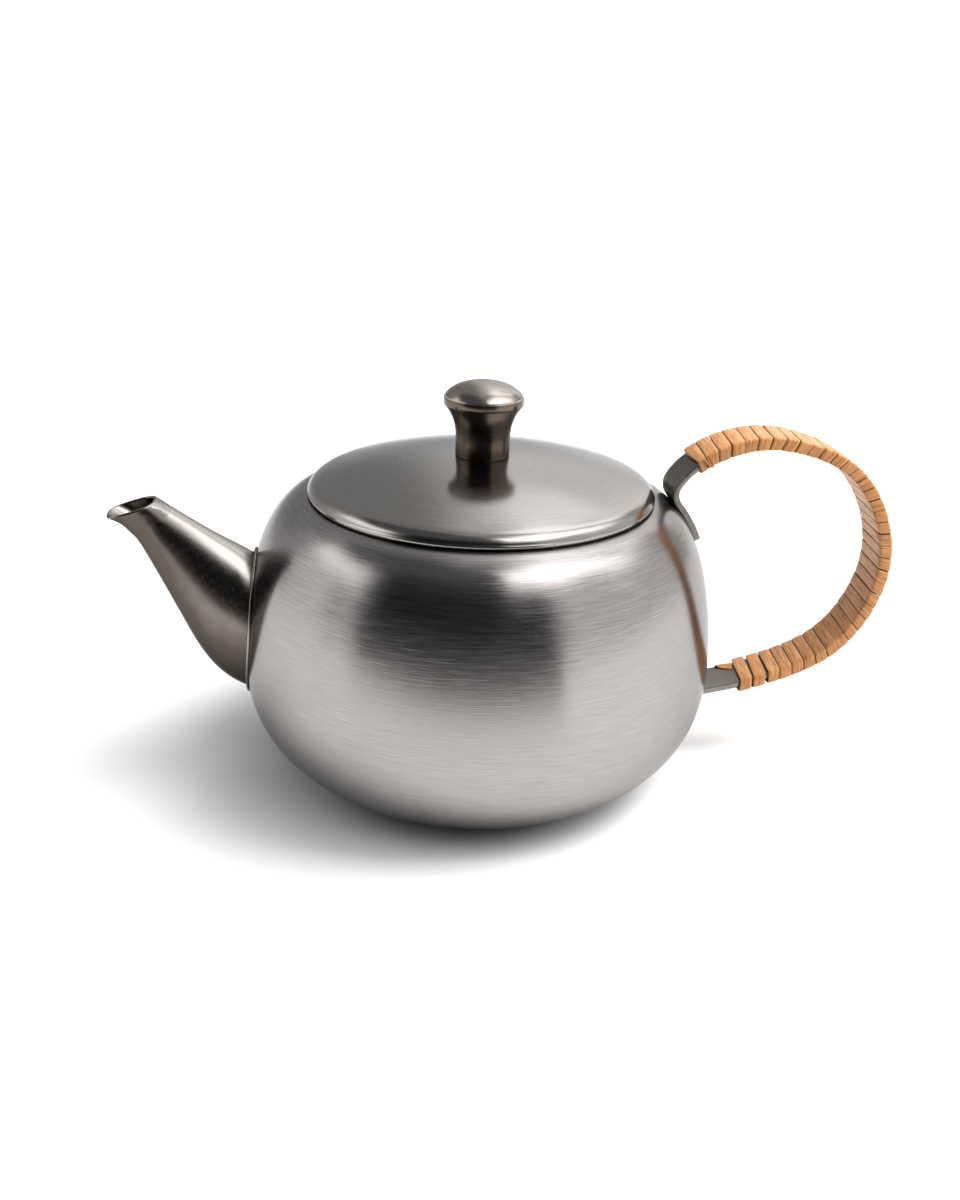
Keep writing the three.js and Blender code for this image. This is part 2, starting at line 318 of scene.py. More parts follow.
def uv_parts(n):
    return n.parts(n.add("UVMap").outputs[0])[:2]


def turned_coords(n, round_scale, along_scale):
    """Noise coordinates on a turned piece, with no seam: streaks run round it."""
    u, v = uv_parts(n)
    angle = n.math("MULTIPLY", u, 2 * math.pi)
    c = n.math("MULTIPLY", n.math("COSINE", angle), round_scale)
    s = n.math("MULTIPLY", n.math("SINE", angle), round_scale)
    return n.combine(c, s, n.math("MULTIPLY", v, along_scale))


def pit_spots(n, place):
    """Sparse round pits, as 1 inside a pit and 0 outside."""
    cells = n.add("TexVoronoi")
    cells.inputs["Scale"].default_value = 55
    n.link(place, cells.inputs["Vector"])
    few = n.math("GREATER_THAN", cells.outputs["Color"], 0.62)
    return n.math("MULTIPLY", n.span(cells.outputs["Distance"], 0.012, 0.03, 1.0, 0.0), few)


def brushed(name, color, rough, streak, anisotropic=0.4, spread=0.04, scratches=0.0, radius=0.07, dull=0.0,
            pits=0.0, below=None, painted_shade_color=None, foot=0.0, edge_tint=0.75):
    """Turned and brushed steel.

    streak is how strongly the brushing shows and radius the piece's own, in metres. Below the height below the
    colour is painted_shade_color, a painted shade, and up to the height foot the metal is darkened towards the
    table, a painted shade for the contact shadow that the base reflects.
    """
    n = Surface(name)
    fine = n.noise(turned_coords(n, radius * 150, 4200), 1.0, 2.0, 0.6)
    coarse = n.noise(turned_coords(n, radius * 70, 1700), 1.0, 3.0, 0.65)
    broad = n.noise(turned_coords(n, radius * 40, 90), 1.0, 2.0, 0.5)
    mixed = n.math("ADD", n.math("MULTIPLY", fine, 0.62), n.math("MULTIPLY", coarse, 0.38))
    tone = n.span(mixed, NOISE_LOW, NOISE_HIGH, 1 - streak, 1 + streak)
    tone = n.math("MULTIPLY", tone, n.span(broad, NOISE_LOW, NOISE_HIGH, 1 - dull, 1 + dull))
    u, v = uv_parts(n)
    place = n.combine(n.math("MULTIPLY", u, 2 * math.pi * radius), v, 0.0)
    height = n.parts(n.place())[2]
    if pits:
        spot = pit_spots(n, place)
        tone = n.math("MULTIPLY", tone, n.span(spot, 0, 1, 1, 1 - pits))
    if below:
        # painted shade: below the height below the colour is the darker painted_shade_color
        color = n.mix(n.span(height, below - 0.0002, below + 0.0002, 0, 1), painted_shade_color, color)
    # painted shade: the colour falls to half near the table, standing in for the reflected contact shadow
    if foot:
        tone = n.math("MULTIPLY", tone, n.span(height, 0.0005, foot, 0.50, 1.0))
    shade = n.mix(1.0, color, n.combine(tone, tone, tone), "MULTIPLY")
    normal = n.bump(mixed, 0.18, 0.00002)
    if pits:
        normal = n.bump(spot, 0.5, -0.00015, normal)
    if scratches:
        for tilt, shift in ((-0.5, 3.0), (-0.33, 7.0), (0.9, 5.0)):
            turned = n.add("Mapping")
            turned.inputs["Rotation"].default_value = (0, 0, tilt)
            turned.inputs["Location"].default_value = (shift, shift, 0)
            turned.inputs["Scale"].default_value = (60, 2800, 1)
            n.link(place, turned.inputs["Vector"])
            lines = n.span(n.noise(turned.outputs[0], 1.0, 2.0, 0.5), 0.58, 0.72, 0, 1)
            normal = n.bump(lines, scratches, 0.00002, normal)
            shade = n.mix(n.math("MULTIPLY", lines, scratches), shade, (0.48, 0.46, 0.45))
    n.set("Base Color", shade)
    n.set("Roughness", n.span(mixed, NOISE_LOW, NOISE_HIGH, rough - spread, rough + spread))
    n.set("Normal", normal)
    n.set("Metallic", 1.0)
    n.set("Anisotropic", anisotropic)
    n.set("Anisotropic Rotation", 0.25)
    n.set("Specular Tint", (edge_tint, edge_tint, edge_tint, 1))
    n.set("Tangent", n.add("Tangent", direction_type="RADIAL", axis="Z").outputs[0])
    return n.material


def satin(name, color, rough, warm, streak=0.08, grain=(900, 900, 60), strength=0.2, spread=0.05,
          under=None, facing=(-0.10, 0.50)):
    """Satin steel with a fine grain that runs one way in object space.

    warm is the colour of its blotches, and under that of the parts that face down, a painted shade. facing is the
    range of the normal's upward part over which under gives way to color.
    """
    n = Surface(name)
    place = n.add("Mapping")
    place.inputs["Scale"].default_value = grain
    n.link(n.place(), place.inputs["Vector"])
    fine = n.noise(place.outputs[0], 2.5, 4.0, 0.65)
    blotch = n.noise(n.place(), 60, 3.0, 0.6)
    tone = n.span(fine, NOISE_LOW, NOISE_HIGH, 1 - streak, 1 + streak)
    shade = n.mix(1.0, color, n.combine(tone, tone, tone), "MULTIPLY")
    shade = n.mix(n.span(blotch, 0.35, 0.7, 0, 0.6), shade, warm)
    # painted shade: faces that point down take the darker under colour
    if under:
        upward = n.parts(n.add("NewGeometry").outputs["Normal"])[2]
        dark = n.math("ADD", upward, n.span(blotch, NOISE_LOW, NOISE_HIGH, -0.12, 0.12))
        shade = n.mix(n.span(dark, *facing, 0, 1), under, shade)
    n.set("Base Color", shade)
    n.set("Roughness", n.span(fine, NOISE_LOW, NOISE_HIGH, rough - spread, rough + spread))
    n.set("Normal", n.bump(fine, strength, 0.00003))
    n.set("Metallic", 1.0)
    n.set("Specular Tint", (0.5, 0.5, 0.5, 1))
    return n.material


def cane_material():
    """Split rattan: fibres along the strip, with its edges darkened as painted shade between the turns. u is
    across the strip and v along it.
    """
    n = Surface("cane_honey")
    u, v = uv_parts(n)

    def fibres(across, along, shift, detail, rough):
        place = n.combine(n.math("MULTIPLY", u, across), n.math("MULTIPLY", v, along), shift)
        return n.noise(place, 1.0, detail, rough)

    fibre = fibres(13.0, 90.0, 0.0, 4.0, 0.62)
    hair = fibres(34.0, 330.0, 4.0, 3.0, 0.6)
    turn = fibres(0.8, 34.0, 9.0, 2.0, 0.5)
    tone = n.math("ADD", n.math("MULTIPLY", fibre, 0.6), n.math("MULTIPLY", hair, 0.4))
    bright = n.ramp(tone, [
        (0.33, (0.15, 0.043, 0.010)),
        (0.43, (0.355, 0.130, 0.034)),
        (0.52, (0.54, 0.236, 0.073)),
        (0.66, (0.82, 0.48, 0.228)),
    ])
    deep = n.ramp(tone, [
        (0.36, (0.26, 0.09, 0.024)),
        (0.64, (0.62, 0.31, 0.115)),
    ])
    varied = n.mix(n.span(turn, NOISE_LOW, NOISE_HIGH, 0.0, 0.55), bright, deep)
    # painted shade: the strip's edges darken where the turns meet
    from_middle = n.math("ABSOLUTE", n.math("SUBTRACT", u, 0.5))
    edge = n.span(from_middle, 0.43, 0.5, 0.0, 0.85)
    n.set("Base Color", n.mix(edge, varied, (0.13, 0.040, 0.010)))
    n.set("Roughness", n.span(tone, NOISE_LOW, NOISE_HIGH, 0.52, 0.30))
    n.set("Normal", n.bump(tone, 0.8, 0.00015))
    n.set("Specular IOR Level", 0.45)
    return n.material


STEEL = brushed(
    "steel_brushed", (0.345, 0.330, 0.324), 0.22, 0.17, 0.85,
    # foot paints shade on the lowest 6.8 mm of the pot
    scratches=0.35, pits=0.5, foot=0.0068, edge_tint=0.6,
)
LID_STEEL = brushed(
    "steel_lid", (0.335, 0.320, 0.306), 0.17, 0.07, 0.3, 0.04,
    scratches=0.18, radius=0.05, pits=0.5,
)
PLAIN = brushed("steel_plain", (0.36, 0.35, 0.34), 0.30, 0.06, 0.3, 0.04)
KNOB_STEEL = brushed(
    "steel_knob", (0.325, 0.290, 0.262), 0.20, 0.10, 0.2, 0.05,
    # painted shade: the neck and band under the cap take a dark brown colour
    radius=0.01, dull=0.06, below=0.1142, painted_shade_color=(0.130, 0.102, 0.085),
)
SPOUT_STEEL = satin(
    "steel_spout", (0.315, 0.297, 0.280), 0.24, (0.285, 0.262, 0.243),
    # under paints shade on the spout's underside
    under=(0.094, 0.079, 0.068), grain=(500, 900, 200), strength=0.05, spread=0.04,
)
BEAD_STEEL = satin(
    "steel_bead", (0.30, 0.28, 0.26), 0.24, (0.22, 0.20, 0.18),
    grain=(900, 900, 200), strength=0.12,
)
STRAP_STEEL = satin(
    "steel_strap", (0.226, 0.210, 0.192), 0.34, (0.175, 0.156, 0.138),
    # under paints shade: the strap's faces that point well down are near-black
    streak=0.20, grain=(250, 900, 250), under=(0.02, 0.018, 0.016), facing=(-0.5, -0.25),
)
CANE = cane_material()

# ---------------------------------------------------------------- pot

BASE_R, BELLY_R, BELLY_Z, MOUTH_R, MOUTH_Z = 45.3, 70.0, 37.0, 50.5, 85.7
NECK_R, NECK_DEPTH, WALL = 45.6, 4.5, 1.0
BELLY, MOUTH = (BELLY_R, BELLY_Z), (MOUTH_R, MOUTH_Z)
LOWER = bezier((BASE_R, 0), (BASE_R + 18, 8.5), (BELLY_R, BELLY_Z - 17), BELLY, 60)
UPPER = bezier(BELLY, (BELLY_R, BELLY_Z + 18), (MOUTH_R + 14.7, MOUTH_Z - 1.9), MOUTH, 90)
OUTSIDE = np.concatenate([LOWER, UPPER[1:]])


def pot_radius(z):
    """The pot's outer radius at a height."""
    return np.interp(z, OUTSIDE[:, 1], OUTSIDE[:, 0])


def pot_normal(z):
    """The outward normal of the pot's wall at a height, as (radial, up)."""
    d = pot_radius(z + 0.2) - pot_radius(z - 0.2)
    out = np.stack([np.full_like(np.asarray(z, float), 0.4), -d], -1)
    return out / np.linalg.norm(out, axis=-1)[..., None]


def body_shell():
    side = OUTSIDE
    base_edge = [(BASE_R - 1.2, 0.0), (BASE_R - 0.5, 0.02)]
    inside = beside(OUTSIDE, -WALL)
    inside = inside[(inside[:, 1] > WALL + 0.4)][:-1]
    inside = inside[::-4]
    corner = [(BASE_R - 1.0, WALL + 0.12), (BASE_R - 3.0, WALL)]
    neck = [
        (MOUTH_R - 0.35, MOUTH_Z + 0.02),
        (NECK_R + 1.0, MOUTH_Z),
        *arc(NECK_R + 0.8, MOUTH_Z - 0.8, 0.8, 90, 180, 7)[1:],
        (NECK_R, MOUTH_Z - NECK_DEPTH + 0.15),
        (NECK_R + 0.15, MOUTH_Z - NECK_DEPTH),
        (NECK_R + WALL - 0.15, MOUTH_Z - NECK_DEPTH),
        (NECK_R + WALL, MOUTH_Z - NECK_DEPTH + 0.15),
        (NECK_R + WALL, MOUTH_Z - WALL - 0.3),
        (NECK_R + WALL + 0.3, MOUTH_Z - WALL),
    ]
    under, floor_inside = [(0, 0), (BASE_R * 0.5, 0)], [(BASE_R * 0.5, WALL), (0, WALL)]
    profile = [*under, *base_edge, *side, *neck, *inside, *corner, *floor_inside]
    verts, faces, uvs = lathe(profile, steps(256))
    ob = make_mesh("body_shell_fine", verts, faces, uvs, "pot", STEEL, sharp=50)
    cut_with(ob, strainer_cutter())
    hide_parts("body_shell")


def strainer_cutter():
    """Nineteen small rods that punch the strainer behind the spout."""
    radius, pitch, middle, sides = 1.5, 5.2, 47.0, 20
    row_pitch = pitch * 0.87
    rod_ends = (-76.0, -60.0)
    verts, faces = [], []
    for row, count in enumerate((3, 4, 5, 4, 3)):
        for i in range(count):
            y = (i - (count - 1) / 2) * pitch
            z = middle + (row - 2) * row_pitch
            at = len(verts)
            for x in rod_ends:
                for k in range(sides):
                    a = 2 * math.pi * k / sides
                    verts.append((x, y + radius * math.cos(a), z + radius * math.sin(a)))
            for k in range(sides):
                q = (k + 1) % sides
                faces.append((at + k, at + q, at + sides + q, at + sides + k))
            faces.append(tuple(at + k for k in range(sides - 1, -1, -1)))
            faces.append(tuple(at + sides + k for k in range(sides)))
    return bare_object("strainer_cutter", verts, faces)


# ---------------------------------------------------------------- spout

# The spout's lower and upper outline in the XZ plane, from inside the pot to the lip, and its half width.
# The outlines have the CAD's points; the half widths near the mouth are a little larger than the CAD's.
SPOUT_LOW = [
    (-60, 24.2), (-69.9, 26.4), (-77.6, 31.6), (-83.2, 39.3), (-88.3, 49.9),
    (-93.4, 61.0), (-98.4, 71.4), (-101.1, 75.2), (-103.7, 78.0), (-107.2, 80.0),
]
SPOUT_HIGH = [
    (-58, 62.5), (-67.4, 68.2), (-71.6, 70.8), (-75.8, 73.3), (-79.9, 75.9),
    (-83.9, 78.6), (-87.9, 81.3), (-89.9, 82.6), (-91.5, 83.6), (-93.0, 84.3),
]
SPOUT_HALF = [15.4, 14.4, 12.4, 10.6, 8.8, 7.3, 6.2, 6.0, 6.0, 6.1]


def spout_points(t, angle, out):
    """Points of the spout's skin at t along it and angle round it (0 is the top), grown by out."""
    t = np.atleast_1d(t)
    low, high = spline(SPOUT_LOW, t), spline(SPOUT_HIGH, t)
    half = spline([(h, 0) for h in SPOUT_HALF], t)[:, 0] + out
    middle = (low + high) / 2
    rise = high - low
    length = np.linalg.norm(rise, axis=1)
    rise = rise / length[:, None]
    full = 1 - 0.30 * np.clip((t - 0.7) / 0.3, 0, 1)  # the section squares up a little towards the mouth
    c, s = math.cos(angle), math.sin(angle)
    along = math.copysign(1, c) * abs(c) ** full * (length / 2 + out)
    p = middle + rise * along[:, None]
    return np.stack([p[:, 0], math.copysign(1, s) * abs(s) ** full * half, p[:, 1]], -1)


def spout_root(angle, out):
    """The share along the spout at which its skin at this angle meets the pot's wall."""
    lo, hi = 0.0, 0.45
    for _ in range(30):
        mid = (lo + hi) / 2
        p = spout_points(mid, angle, out)[0]
        if math.hypot(p[0], p[1]) < pot_radius(p[2]):
            lo = mid
        else:
            hi = mid
    return hi


def spout_tube():
    count, along = steps(96), steps(110)
    angles = np.arange(count) / count * 2 * math.pi
    share = np.linspace(0, 1, along)
    outer, inner = [], []
    for a in angles:
        root = spout_root(a, 0.0)
        outer.append(spout_points(root + (1 - root) * share, a, 0.0))
        root = spout_root(a, -WALL)
        inner.append(spout_points(root + (1 - root) * share, a, -WALL))
    outer = np.stack(outer, 1)
    inner = np.stack(inner, 1)
    lip, lip_steps = [], 5
    lip_bulge = np.array([-0.15, 0, 0.42])
    middle = (outer[-1] + inner[-1]) / 2
    for k in range(1, lip_steps):
        b = math.pi * k / lip_steps
        lip.append(middle + (outer[-1] - middle) * math.cos(b) + lip_bulge * math.sin(b))
    rows = [*outer, *lip, *inner[::-1]]
    verts, faces, uvs = grid(rows, lambda i, j: (j / count, i * 0.0006), wrap_rows=True)
    ob = make_mesh("spout_tube_fine", verts, faces, uvs, "pot", SPOUT_STEEL, sharp=60)
    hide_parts("spout_tube")


def root_collar():
    """A narrow bead of metal in the corner between spout and pot."""
    count = steps(120)
    rows = []
    for k in range(count):
        a = 2 * math.pi * k / count
        p = spout_points(spout_root(a, 0.05), a, 0.05)[0]
        q = spout_points(spout_root(a, 1.0), a, 1.0)[0]
        r = math.hypot(p[0], p[1])
        nr, nz = pot_normal(p[2])
        normal = np.array([p[0] / r * nr, p[1] / r * nr, nz])
        side = q - p
        side -= normal * side.dot(normal)
        side /= np.linalg.norm(side)
        ring = []
        for b in np.radians([180, 150, 120, 95, 70, 45, 20, 0, -30, -150]):
            height = 0.1 + 0.60 * min(1.0, 1.6 * math.sin(b)) if b > 0 else 0.1 + 0.2 * math.sin(b)
            ring.append(p + side * (0.78 + 0.92 * math.cos(b)) + normal * height)
        rows.append(ring)
    verts, faces, uvs = grid(rows, lambda i, j: (i / count, j * 0.0005), wrap_rows=True)
    ob = make_mesh("spout_root_bead", verts, faces, uvs, "pot", BEAD_STEEL, sharp=70)
    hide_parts("spout_root_collar")


# ---------------------------------------------------------------- lid and knob

LID_R, LID_Z, LID_RIM, LID_RISE, LID_WALL = 50.5, 86.2, 1.0, 10.0, 0.9
SHOULDER = 2.0  # the part of the rise that is taken up by the lid's rounded edge
SHOULDER_POWER = 44  # the higher, the narrower that edge
DOME_R = (LID_R ** 2 + (LID_RISE - SHOULDER) ** 2) / (2 * (LID_RISE - SHOULDER))
DOME_TOP = LID_Z + LID_RIM + LID_RISE
SCREW_HOLE = 2.3


def dome(r, down):
    """The dome's height at a radius, or that of a skin which lies down below it."""
    shoulder = SHOULDER * (r / LID_R) ** SHOULDER_POWER
    return DOME_TOP - DOME_R + math.sqrt((DOME_R - down) ** 2 - r ** 2) - shoulder


def lid_dome():
    r_top = SCREW_HOLE + (LID_R - 0.35 - SCREW_HOLE) * np.sin(np.linspace(0, math.pi / 2, steps(80)))
    r_under = np.linspace(SCREW_HOLE, LID_R - LID_WALL, steps(30))
    under = [(r, dome(r, LID_WALL)) for r in r_under]
    top = [(r, dome(r, 0)) for r in r_top[::-1]]
    rim = [
        (LID_R - LID_WALL, LID_Z + 0.12),
        (LID_R - LID_WALL + 0.12, LID_Z),
        (LID_R - 0.2, LID_Z),
        (LID_R - 0.05, LID_Z + 0.06),
        (LID_R, LID_Z + 0.2),
        (LID_R, LID_Z + LID_RIM - 0.16),
        (LID_R - 0.04, LID_Z + LID_RIM - 0.05),
        (LID_R - 0.14, LID_Z + LID_RIM + 0.02),
    ]
    profile = [*under, *rim, *top, under[0]]
    verts, faces, uvs = lathe(profile, steps(256))
    ob = make_mesh("lid_dome_fine", verts, faces, uvs, "lid", LID_STEEL, sharp=45)
    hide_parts("lid_dome")


def locating_ring():
    ring_r, flange_r, wall, depth = 45.1, 48.8, 0.6, 6.5
    z = MOUTH_Z + 0.3
    foot = z - depth
    bend = arc(ring_r + 0.5, z - 0.5, 0.5, 180, 90, 5)
    profile = [
        (ring_r - wall + 0.1, foot),
        (ring_r - 0.1, foot),
        (ring_r, foot + 0.1),
        *bend,
        (flange_r - 0.1, z),
        (flange_r, z + 0.1),
        (flange_r, z + wall - 0.1),
        (flange_r - 0.1, z + wall),
        *arc(ring_r + 0.5, z - 0.5, 1.1, 90, 180, 6),
        (ring_r - wall, foot + 0.1),
        (ring_r - wall + 0.1, foot),
    ]
    verts, faces, uvs = lathe(profile, steps(200))
    ob = make_mesh("lid_locating_ring_fine", verts, faces, uvs, "lid", PLAIN)
    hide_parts("lid_locating_ring")


def knob():
    foot_r, top_r, band, band_h, top = 7.85, 11.5, 112.0, 2.3, 118.65
    foot = 97.5
    seat = DOME_TOP + 0.02 - 0.22  # the foot's rim meets the dome
    neck_pull, cap_pull = (foot_r + 1, band - 3), (top_r - 1.7, top - 1.75)
    neck = bezier((foot_r, seat + 4), (foot_r, foot + 8.5), neck_pull, (top_r - 0.2, band), steps(34))
    cap = bezier((top_r, band + band_h), cap_pull, (top_r / 2 + 0.3, top), (0, top), steps(40))
    profile = [
        (0, foot + 11),
        (SCREW_HOLE, foot + 10),
        (SCREW_HOLE, DOME_TOP + 0.05),
        (foot_r - 0.4, seat + 0.05),
        (foot_r - 0.12, seat + 0.08),
        (foot_r, seat + 0.25),
        (foot_r, seat + 2),
        *neck[:-1],
        (top_r - 0.3, band - 0.06),
        (top_r - 0.1, band + 0.02),
        (top_r, band + 0.2),
        (top_r, band + band_h - 0.25),
        (top_r - 0.06, band + band_h - 0.08),
        (top_r - 0.25, band + band_h + 0.02),
        *cap[2:],
    ]
    verts, faces, uvs = lathe(profile, steps(144))
    ob = make_mesh("knob_fine", verts, faces, uvs, "lid", KNOB_STEEL, sharp=32)
    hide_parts("knob")


def knob_fixings():
    """The washer and the slotted screw that hold the knob from under the lid."""
    washer_r, washer_t, bevel = 6.5, 0.8, 0.15
    top = dome(washer_r, LID_WALL) - 0.02
    bottom = top - washer_t
    washer = [
        (SCREW_HOLE, bottom),
        (washer_r - 0.2, bottom),
        (washer_r, bottom + 0.2),
        (washer_r, top - bevel),
        (washer_r - bevel, top),
        (SCREW_HOLE, top),
        (SCREW_HOLE, bottom),
    ]
    verts, faces, uvs = lathe(washer, 64)
    ob = make_mesh("knob_washer_fine", verts, faces, uvs, "lid", PLAIN)
    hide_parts("knob_washer")

    under = top - 0.85
    head, head_r, shank_r, tip = 2.4, 4.2, 2.0, 107.1
    low = under - head
    round_head = bezier((0, low), (2.2, low), (head_r - 0.1, under - 1.7), (head_r, under - 0.6), 12)
    screw = [
        *round_head,
        (head_r, under - 0.1),
        (head_r - 0.1, under),
        (shank_r, under),
        (shank_r, tip - 0.6),
        (shank_r - 0.6, tip),
        (0, tip),
    ]
    verts, faces, uvs = lathe(screw, 48)
    ob = make_mesh("knob_screw_fine", verts, faces, uvs, "lid", PLAIN)
    half_w, half_l, depth = 0.55, 6, 1.2
    sides = ((-half_l, -half_w), (half_l, -half_w), (half_l, half_w), (-half_l, half_w))
    corners = [(x, y, z) for z in (under - 4, low + depth) for x, y in sides]
    box = [(3, 2, 1, 0), (4, 5, 6, 7), (0, 1, 5, 4), (1, 2, 6, 5), (2, 3, 7, 6), (3, 0, 4, 7)]
    cut_with(ob, bare_object("slot_cutter", corners, box))
    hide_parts("knob_screw")


# ---------------------------------------------------------------- handle

# The strap's centre line in the XZ plane, from the tab on the shoulder to the foot: the CAD's own points.
STRAP_LINE = [
    (64.7, 72.2), (62.8, 76.2), (60.2, 80.4), (57.5, 84.0), (57.0, 87.4), (59.2, 91.1), (62.9, 94.6), (68.5, 98.0),
    (75.4, 100.5), (82.4, 101.6), (89.4, 101.2), (96.0, 99.7), (102.6, 97.4), (109.0, 93.8), (114.3, 88.9),
    (118.6, 82.8), (121.7, 75.9), (123.5, 68.5), (123.7, 60.8), (122.1, 53.2), (119.0, 46.0), (114.7, 39.6),
    (109.3, 34.5), (103.3, 30.9), (96.6, 28.1), (89.6, 25.9), (82.0, 23.8), (75.6, 22.5), (65.6, 20.9),
]
STRAP_W, STRAP_T = 13.2, 1.8
STRAP_END_X = 67.9  # the strap ends just off the pot's wall
STRAP_PATH = spline(STRAP_LINE, np.linspace(0, 1, 3000))
STRAP_RUN = np.r_[0, np.cumsum(np.linalg.norm(np.diff(STRAP_PATH, axis=0), axis=1))]
FOOT_PART = 2000  # from here on the path only comes back towards the pot


def on_strap(s, y, h):
    """Points beside the strap's centre line: s along it, y across, h out from the loop."""
    s, y, h = (np.asarray(v, float) for v in np.broadcast_arrays(s, y, h))
    reach = 0.6  # the direction is taken over this length on either side

    def path(at):
        return np.interp(at, STRAP_RUN, STRAP_PATH[:, 0]), np.interp(at, STRAP_RUN, STRAP_PATH[:, 1])

    px, pz = path(s)
    ahead, behind = path(s + reach), path(s - reach)
    dx, dz = ahead[0] - behind[0], ahead[1] - behind[1]
    length = np.hypot(dx, dz)
    return np.stack([px - dz / length * h, y, pz + dx / length * h], -1)


def strap_section():
    """The strap's cross-section with rounded corners, as (across, out) points."""
    w, t, c = STRAP_W / 2, STRAP_T / 2 + 0.05, 0.22
    corners = []
    for cy, ch, a0 in ((w - c, t - c, 0), (-w + c, t - c, 90), (-w + c, -t + c, 180), (w - c, -t + c, 270)):
        corners += list(arc(cy, ch, c, a0, a0 + 90, 4))
    section = []
    for k, p in enumerate(corners):
        section.append(p)
        q = corners[(k + 1) % len(corners)]
        if abs(p[0] - q[0]) > 4:
            section += [p + (q - p) * f for f in (0.25, 0.5, 0.75)]
    return np.array(section)


def strap():
    section = strap_section()
    end = np.interp(-STRAP_END_X, -STRAP_PATH[FOOT_PART:, 0], STRAP_RUN[FOOT_PART:])
    stations = np.r_[0.0, 0.12, np.linspace(0.35, end, steps(260))]
    rounding = ((0.965, 0.7), (0.99, 0.92))  # width and thickness of the first two sections
    tab, hug_depth, hug_r = 16.0, 0.4, 60  # the tab is bent across to lie on the pot's shoulder
    rows = []
    for i, s in enumerate(stations):
        width, thickness = rounding[i] if i < len(rounding) else (1.0, 1.0)
        y = section[:, 0] * width
        p = on_strap(s, y, section[:, 1] * thickness)
        hug = max(0.0, 1 - s / tab) ** 0.5
        p[:, 0] -= hug_depth * hug * y * y / (2 * hug_r)
        rows.append(p)

    def uv(i, j):
        return j / len(section), stations[min(i, len(stations) - 1)] * MM

    verts, faces, uvs = grid(rows, uv, cap_first=True, cap_last=True)
    ob = make_mesh("handle_strap_fine", verts, faces, uvs, "pot", STRAP_STEEL, sharp=40)
    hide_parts("handle_strap")


def wall_x(z, y):
    """How far out the pot's wall stands at a height and a place across, less a little overlap."""
    return math.sqrt(pot_radius(z) ** 2 - y * y) - 0.3


def foot_fillet():
    """Solder run into the corner under the strap's foot, hollow-faced."""
    half = STRAP_W / 2 - 0.35
    top_z, full_reach, full_drop = 20.55, 3.6, 4.0
    columns = steps(28)
    rows = []
    for k in range(columns + 1):
        y = -half + 2 * half * k / columns
        taper = min(1.0, (half - abs(y)) / 0.5 + 0.55)
        reach, drop = full_reach * taper, full_drop * taper
        curve = bezier(
            (wall_x(20, y) + reach, top_z + 0.15 * reach),
            (wall_x(19, y) + reach * 0.45, top_z - 0.55),
            (wall_x(18, y) + 0.75, top_z - drop * 0.5),
            (wall_x(top_z - drop, y), top_z - drop),
            9,
        )
        ring = [(x, y, z) for x, z in curve]
        ring += [(wall_x(top_z, y) - 0.2, y, top_z), (wall_x(top_z, y) - 0.1, y, top_z + 0.25)]
        rows.append(ring)
    verts, faces, uvs = grid(rows, lambda i, j: (j * 0.1, i * 0.0004), cap_first=True, cap_last=True)
    ob = make_mesh("handle_foot_solder", verts, faces, uvs, "pot", STRAP_STEEL, sharp=60)
    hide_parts("handle_foot_fillet")


CANE_START, CANE_END, CANE_TURNS = 27.0, 175.2, 37
LOOSE_GAPS = (0.3, 0.85)  # between the last turns, from the end
# The strip's underside runs round a box a little larger than the strap: half width, half height, corner
TRACK_W, TRACK_H, TRACK_C = STRAP_W / 2 + 0.38, STRAP_T / 2 + 0.38, 0.2


def cane_track(f):
    """The strip's underside at a share f of a turn: (y, h, outward y, outward h, share of the advance)."""
    a, b, c = TRACK_W, TRACK_H, TRACK_C
    legs = [
        (2 * (b - c), (-a, -b + c), (0, 1), (-1, 0)),
        (math.pi / 2 * c, (-a + c, b - c), 180, 90),
        (2 * (a - c), (-a + c, b), (1, 0), (0, 1)),
        (math.pi / 2 * c, (a - c, b - c), 90, 0),
        (2 * (b - c), (a, b - c), (0, -1), (1, 0)),
        (math.pi / 2 * c, (a - c, -b + c), 0, -90),
        (2 * (a - c), (a - c, -b), (-1, 0), (0, -1)),
        (math.pi / 2 * c, (-a + c, -b + c), -90, -180),
    ]
    total = sum(leg[0] for leg in legs)
    d = (f % 1.0) * total
    for k, leg in enumerate(legs):
        if d <= leg[0] or k == len(legs) - 1:
            break
        d -= leg[0]
    w = d / leg[0]
    if isinstance(leg[2], tuple):
        y, h = leg[1][0] + leg[2][0] * d, leg[1][1] + leg[2][1] * d
        ny, nh = leg[3]
    else:
        ang = math.radians(leg[2] + (leg[3] - leg[2]) * w)
        ny, nh = math.cos(ang), math.sin(ang)
        y, h = leg[1][0] + c * ny, leg[1][1] + c * nh
    share = (0.16, 0.05, 0.24, 0.05, 0.16, 0.05, 0.24, 0.05)
    return y, h + 0.15 * (1 + h / b), ny, nh, sum(share[:k]) + share[k] * w


def turn_stations():
    """Shares of a turn at which the strip gets a cross-section: close together at the corners."""
    a, b, c = TRACK_W, TRACK_H, TRACK_C
    edge_steps, corner_steps, flat_steps = 2, 3, 9
    counts = [edge_steps, corner_steps, flat_steps, corner_steps] * 2
    marks = []
    lengths = [2 * (b - c), math.pi / 2 * c, 2 * (a - c), math.pi / 2 * c] * 2
    total, at = sum(lengths), 0.0
    for n, length in zip(counts, lengths):
        marks += [(at + length * i / n) / total for i in range(n)]
        at += length
    return marks


